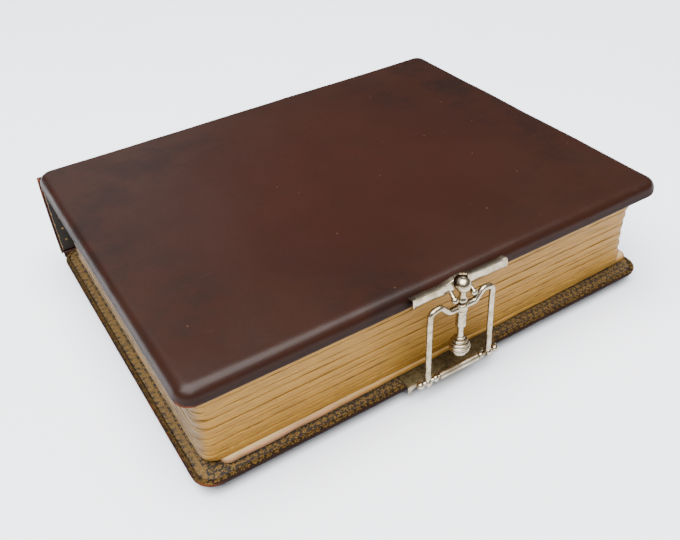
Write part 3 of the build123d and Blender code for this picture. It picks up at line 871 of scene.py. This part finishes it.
footZ = claspLook["pinZ"] + 1.9
halfBail = [
    ("legX", footZ), ("topX", claspLook["topZ"]), ("shoulderX", claspLook["shoulderZ"]),
    ("dipX", claspLook["barZ"]),
]
bailPoints = [(-claspLook[width], claspLook["y"], z) for width, z in halfBail]
bailPoints += [(-x, y, z) for x, y, z in reversed(bailPoints)]
bailPath = []
corners = roundedPath(bailPoints, claspLook["bends"], 9)
for a, b in zip(corners, corners[1:]):
    pieces = max(1, int((b - a).length / 2.5))
    bailPath += [a.lerp(b, k / pieces) for k in range(pieces)]
bailPath.append(corners[-1])
bm = sweptWire(bailPath, bailSize, Vector((0, 1, 0)))
for side in (-1, 1):
    eye = [
        (1.06, -1.35), (1.7, -1.5), (2.2, -1.2), (2.42, -0.4), (2.42, 0.4), (2.2, 1.2), (1.7, 1.5),
        (1.06, 1.35), (1.06, -1.35),
    ]
    join(bm, turned(eye, (side * claspLook["legX"], claspLook["y"], claspLook["pinZ"]), (1, 0, 0), 28))
boss = [
    (1.26, 48.6), (2.5, 48.6), (2.9, 48.9), (3.05, 49.6), (3.0, 50.5), (3.05, 51.4), (2.9, 52.2),
    (2.4, 52.6), (1.26, 52.6), (1.26, 48.6),
]
join(bm, turned(boss, (0, claspLook["y"], 0)))
finishPiece("ClaspBail", bm, "nickel", "clasp_frame", ["clasp_frame"], 50.0, recalc=False)

sleeve = [
    (1.66, 38.7), (2.2, 38.7), (2.55, 38.9), (2.72, 39.4), (2.62, 39.9), (2.6, 40.3), (2.6, 47.4),
    (2.78, 47.8), (2.85, 48.2), (2.7, 48.58), (2.25, 48.58), (2.25, 39.5), (1.66, 39.5), (1.66, 38.7),
]
finishPiece(
    "SpringSleeve", turned(sleeve, (0, claspLook["y"], 0)), "nickel", "clasp_frame",
    ["spring_sleeve"], 50.0,
)

rod = [
    (0.0, 31.9), (1.6, 31.9), (1.7, 32.4), (1.55, 33.0), (1.5, 34.5), (1.58, 38.0), (1.58, 39.58),
    (2.1, 39.58), (2.1, 40.4), (1.18, 40.5), (1.18, 53.9), (2.1, 54.0), (2.5, 54.4), (2.5, 55.2),
    (2.2, 55.7), (1.72, 56.4), (1.6, 57.4), (1.7, 58.8), (2.05, 60.1), (0.0, 60.1),
]
finishPiece(
    "CatchRod", turned(rod, (0, claspLook["y"], 0)), "nickel", "catch_pin", ["catch_rod"],
    50.0,
)
springLook = {"lowZ": 40.66, "highZ": 48.32, "turns": 6, "radius": 1.78, "wire": 0.2, "travel": 4.0}
springTall = springLook["highZ"] - springLook["lowZ"]
coil, perTurn = [], 20
for k in range(springLook["turns"] * perTurn + 1):
    a = math.tau * k / perTurn
    away = Vector((math.cos(a), math.sin(a), 0)) * springLook["radius"]
    rise = springTall * k / (springLook["turns"] * perTurn)
    coil.append(away + Vector((0, claspLook["y"], springLook["lowZ"] + rise)))
bm = sweptWire(coil, lambda point: (springLook["wire"], springLook["wire"]), Vector((0, 0, 1)), 8)
springPiece = finishPiece(
    "PlungerSpring", bm, "spring", "clasp_frame", ["plunger_spring"], 60.0,
)
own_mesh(springPiece)
ball = [(0.0, 59.52)] + arc(0, 63.4, 3.9, -84, 78, 26) + [(0.42, 67.1), (0.0, 66.98)]
finishPiece(
    "CatchBall", turned(ball, (0, claspLook["y"], 0), steps=44), "nickel", "catch_pin",
    ["catch_ball"], 60.0,
)

hiveLook = {
    "radii": [2.6, 3.9, 4.9, 5.4, 5.0, 3.9], "heights": [1.5, 1.7, 1.8, 1.9, 1.9, 1.9], "groove": 0.95,
    "topZ": 32.0,
}
hive, atZ = [(0.0, hiveLook["topZ"])], hiveLook["topZ"]
for radius, height in zip(hiveLook["radii"], hiveLook["heights"]):
    for k in range(9):
        a = math.pi * k / 8
        hive.append(
            (radius - hiveLook["groove"] * (1 - math.sin(a) ** 0.8), atZ - height * (1 - math.cos(a)) / 2)
        )
    atZ -= height
hive += [(2.4, atZ), (0.0, atZ)]
finishPiece(
    "BeehiveKnob", turned(hive, (0, claspLook["y"], 0), steps=44), "nickel", "catch_pin",
    ["beehive_knob"], 60.0,
)


def beadAt(x):
    return x, claspLook["y"], claspLook["pinZ"]


pinProfile = [(0.0, -25.2), (0.9, -25.15)] + arc(0, -23.4, 1.95, -62, 62, 12) + [(1.0, -21.6), (1.0, 21.6)]
pinProfile += arc(0, 23.4, 1.95, -62, 62, 12) + [(0.9, 25.15), (0.0, 25.2)]
finishPiece(
    "HingePin", turned(pinProfile, beadAt(0), (1, 0, 0), 28), "nickel", "back_cover",
    ["hinge_pin"], 50.0,
)
bm = bmesh.new()
for side in (-1, 1):
    bead = [(1.02, -1.45)] + arc(0, 0, 1.85, -52, 52, 12) + [(1.02, 1.45), (1.02, -1.45)]
    join(bm, turned(bead, beadAt(side * 14.2), (1, 0, 0), 28))
finishPiece("HingeBeads", bm, "nickel", "back_cover", ["hinge_beads"], 50.0, recalc=False)

# hinge plate: a flat sheet, lugs turned down at its near corners, and the barrel curled round the pin
plateLook = {
    "half": 28.0, "backY": -90.0, "frontY": -107.25, "lowZ": 8.5, "thick": 0.7, "barrel": 1.9,
    "barrelHalf": 12.0,
}


def plateBlock(corners, height, lift):
    bm = bmesh.new()
    face = bm.faces.new([bm.verts.new(c) for c in corners])
    made = bmesh.ops.extrude_face_region(bm, geom=[face])["geom"]
    bmesh.ops.translate(bm, vec=lift, verts=[g for g in made if isinstance(g, bmesh.types.BMVert)])
    bmesh.ops.recalc_face_normals(bm, faces=bm.faces)
    bmesh.ops.bevel(
        bm, geom=bm.edges[:], offset=height, affect="EDGES", segments=2, profile=0.5, material=-1,
    )
    return bm


plate = plateLook
low, half = plate["lowZ"] + 0.02, plate["half"]
bm = plateBlock(
    [
        (-half, plate["backY"], low), (half, plate["backY"], low), (half, plate["frontY"], low),
        (-half, plate["frontY"], low),
    ],
    0.15, (0, 0, plate["thick"]),
)
tongue = plate["barrelHalf"]
join(
    bm,
    plateBlock(
        [
            (-tongue, plate["frontY"] + 0.5, low), (tongue, plate["frontY"] + 0.5, low),
            (tongue, claspLook["y"], low + 0.3), (-tongue, claspLook["y"], low + 0.3),
        ],
        0.12, (0, 0, plate["thick"]),
    ),
)
for side in (-1, 1):
    edge = plate["frontY"] - 0.05
    join(
        bm,
        plateBlock(
            [
                (side * half, edge, low + 0.6), (side * (half - 7.5), edge, low + 0.6),
                (side * half, edge, low - 4.2),
            ],
            0.12, (0, 0.75, 0),
        ),
    )
barrel = [
    (1.04, -tongue), (1.75, -tongue), (1.9, -tongue + 0.15), (1.9, tongue - 0.15), (1.75, tongue),
    (1.04, tongue), (1.04, -tongue),
]
join(bm, turned(barrel, beadAt(0), (1, 0, 0), 32))
finishPiece("HingePlate", bm, "tarnishedAndReflectingPlate", "back_cover", ["base_plate"], 35.0, recalc=False)
bm = bmesh.new()
for side in (-1, 1):
    dome = [(0.0, 0.0), (1.3, 0.0), (1.3, 0.1), (1.0, 0.38), (0.55, 0.52), (0.0, 0.58)]
    join(bm, turned(dome, (side * 23.0, -95.0, 9.21), (0, 0, 1), 20))
finishPiece("PlateRivets", bm, "nickel", "back_cover", ["plate_rivets"], 50.0, recalc=False)

# catch bar: bent sheet along the front cover's edge, flared at the ends, cut away in the middle for the ball
barLook = {"half": 27.5, "sheet": 0.8, "segments": 110, "cut": 4.3}
lip = -106.25
barLine = [
    (lip + 0.7, 64.7), (lip - 0.9, 65.2), (lip - 2.5, 65.6), (lip - 2.85, 65.5), (lip - 3.05, 65.1),
    (lip - 3.35, 63.4), (lip - 3.35, 61.6), (lip - 3.0, 61.1), (lip - 1.9, 59.9), (lip - 1.2, 59.3),
]


def barMove(co):
    end = ease(abs(co.x), 24.8, 27.5)
    away = Vector((0, co.y - lip + 0.6, co.z - 62.6))
    hump = math.exp(-((co.x / 6.0) ** 2)) * ease(co.z, 62.5, 65.2)
    return away * (0.16 * end) + Vector((0, 0.5 * hump, 1.7 * hump + 0.1 * math.sin(co.x * 0.21)))


def strip(line, half, segments, thick, move, cut):
    bm = bmesh.new()
    verts = [bm.verts.new((-half, y, z)) for y, z in line]
    edges = [bm.edges.new(pair) for pair in zip(verts, verts[1:])]
    for k in range(1, segments + 1):
        made = bmesh.ops.extrude_edge_only(bm, edges=edges)["geom"]
        edges = [g for g in made if isinstance(g, bmesh.types.BMEdge)]
        for vert in [g for g in made if isinstance(g, bmesh.types.BMVert)]:
            vert.co.x = -half + 2 * half * k / segments
    bmesh.ops.subdivide_edges(
        bm,
        edges=[
            e for e in bm.edges if abs(
                e.verts[0].co.x - e.verts[1].co.x
            ) < 0.01 and abs(e.verts[0].co.x) < 7
        ],
        cuts=2,
    )
    bmesh.ops.triangulate(bm, faces=[f for f in bm.faces if len(f.verts) > 4])
    axisY = claspLook["y"]
    inside = [
        f for f in bm.faces if math.hypot(
            f.calc_center_median().x, f.calc_center_median().y - axisY,
        ) < cut
    ]
    bmesh.ops.delete(bm, geom=inside, context="FACES")
    for vert in bm.verts:
        distance = math.hypot(vert.co.x, vert.co.y - axisY)
        if vert.is_boundary and abs(vert.co.x) < cut + 0.6 and distance < cut + 0.6:
            vert.co.x *= cut / distance
            vert.co.y = axisY + (vert.co.y - axisY) * cut / distance
    for vert in bm.verts:
        vert.co += move(vert.co)
    bmesh.ops.recalc_face_normals(bm, faces=bm.faces)
    bmesh.ops.solidify(bm, geom=bm.faces[:], thickness=thick)
    bmesh.ops.recalc_face_normals(bm, faces=bm.faces)
    return bm


bm = strip(barLine, barLook["half"], barLook["segments"], barLook["sheet"], barMove, barLook["cut"])
finishPiece("CatchBar", bm, "nickel", "front_cover", ["catch_bar"], 38.0, recalc=False)

bm = bmesh.new()
prong = [
    (0.0, -0.6), (1.1, -0.6), (1.0, 1.5), (1.05, 3.0), (1.3, 3.9),
] + arc(0, 5.0, 1.75, -35, 66, 9) + [(0.35, 6.55), (0.0, 6.45)]
for side in (-1, 1):
    join(bm, turned(prong, (side * 5.6, lip - 2.15, 60.75), (0, -0.77, -0.636), 24))
finishPiece("CatchProngs", bm, "nickel", "front_cover", ["catch_prongs"], 50.0, recalc=False)
print("clasp made")

# finishes for the carried-over parts
carried = {
    "lining": ["front_doublure", "back_doublure"],
    "board": ["front_board", "back_board", "spine_board"],
    "wadding": ["front_wadding", "back_wadding"],
    "spinePaper": ["spine_paper"],
    "linen": ["fixed_guards", "block_lining"] + [
        f"guard_{n:02d}" for n in range(1, leafLook["turning"] + 1)
    ],
    "nickel": ["bar_pins"],
}
for finish, nodes in carried.items():
    for node in nodes:
        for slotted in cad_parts[node].material_slots:
            slotted.link = "OBJECT"
            slotted.material = finishes[finish]
print("carried parts finished")

# floor, light and camera
floorLook = {"size": 4.0, "colour": shade(238, 241, 247)}
floorFinish = Finish("PaleFloor", Roughness=0.85)
floorTone = floorFinish.mix(floorFinish.cloud(0.004, 3.0, 0.5), floorLook["colour"], shade(228, 232, 239))
floorFinish.wear(
    Base_Color=floorTone, Normal=floorFinish.relief(floorFinish.cloud(1.1, 3.0, 0.6), 0.12, 0.2),
)
bm = bmesh.new()
bmesh.ops.create_grid(bm, x_segments=2, y_segments=2, size=floorLook["size"] / 2)
bmesh.ops.translate(bm, vec=(0, 0, -0.0006), verts=bm.verts)
mesh = bpy.data.meshes.new("Floor")
bm.to_mesh(mesh)
bm.free()
mesh.materials.append(floorFinish.material)
floor = bpy.data.objects.new("Floor", mesh)
bpy.context.scene.collection.objects.link(floor)


def softLight(name, place, aim, size, power, colour):
    light = bpy.data.lights.new(name, "AREA")
    light.shape, light.size, light.size_y, light.energy, light.color = "RECTANGLE", size[
        0
    ], size[1], power, colour
    lamp = bpy.data.objects.new(name, light)
    lamp.location = place
    lamp.rotation_euler = (Vector(aim) - Vector(place)).to_track_quat("-Z", "Y").to_euler()
    bpy.context.scene.collection.objects.link(lamp)


softLight("OverheadLight", (-0.35, -0.25, 1.9), (0, 0, 0.03), (2.4, 2.4), 235.0, (1.0, 0.995, 0.985))
softLight("WindowLight", (-0.1, 1.7, 1.05), (0, 0, 0.03), (1.3, 0.7), 3.0, (0.95, 0.975, 1.0))
world = bpy.data.worlds.new("Room")
world.use_nodes = True
backdrop = world.node_tree.nodes["Background"]
backdrop.inputs["Strength"].default_value = 0.55
direction = world.node_tree.nodes.new("ShaderNodeTexCoord")
parts = world.node_tree.nodes.new("ShaderNodeSeparateXYZ")
ramp = world.node_tree.nodes.new("ShaderNodeValToRGB")
ramp.color_ramp.elements[0].position, ramp.color_ramp.elements[0].color = 0.12, (0.10, 0.085, 0.075, 1)
ramp.color_ramp.elements[1].position, ramp.color_ramp.elements[1].color = 0.7, (0.93, 0.95, 1.0, 1)
for source, target in (
    (direction.outputs["Generated"], parts.inputs[0]), (parts.outputs["Z"], ramp.inputs[0]),
    (ramp.outputs[0], backdrop.inputs["Color"]),
):
    world.node_tree.links.new(source, target)
bpy.context.scene.world = world

cameraLook = {
    "place": (-0.184358, -0.321429, 0.289104), "azimuth": -29.688, "elevation": 37.786, "roll": -3.65,
    "lens": 41.03,
}
lens = bpy.data.cameras.new("Camera")
lens.lens, lens.sensor_width, lens.sensor_fit = cameraLook["lens"], 36.0, "HORIZONTAL"
lens.clip_start = 0.01
camera = bpy.data.objects.new("Camera", lens)
tilt = Matrix.Rotation(math.radians(90 - cameraLook["elevation"]), 4, "X")
swing = Matrix.Rotation(math.radians(cameraLook["azimuth"]), 4, "Z")
roll = Matrix.Rotation(math.radians(cameraLook["roll"]), 4, "Z")
camera.matrix_world = Matrix.Translation(cameraLook["place"]) @ swing @ tilt @ roll
bpy.context.scene.collection.objects.link(camera)
bpy.context.scene.camera = camera
print("stage made")
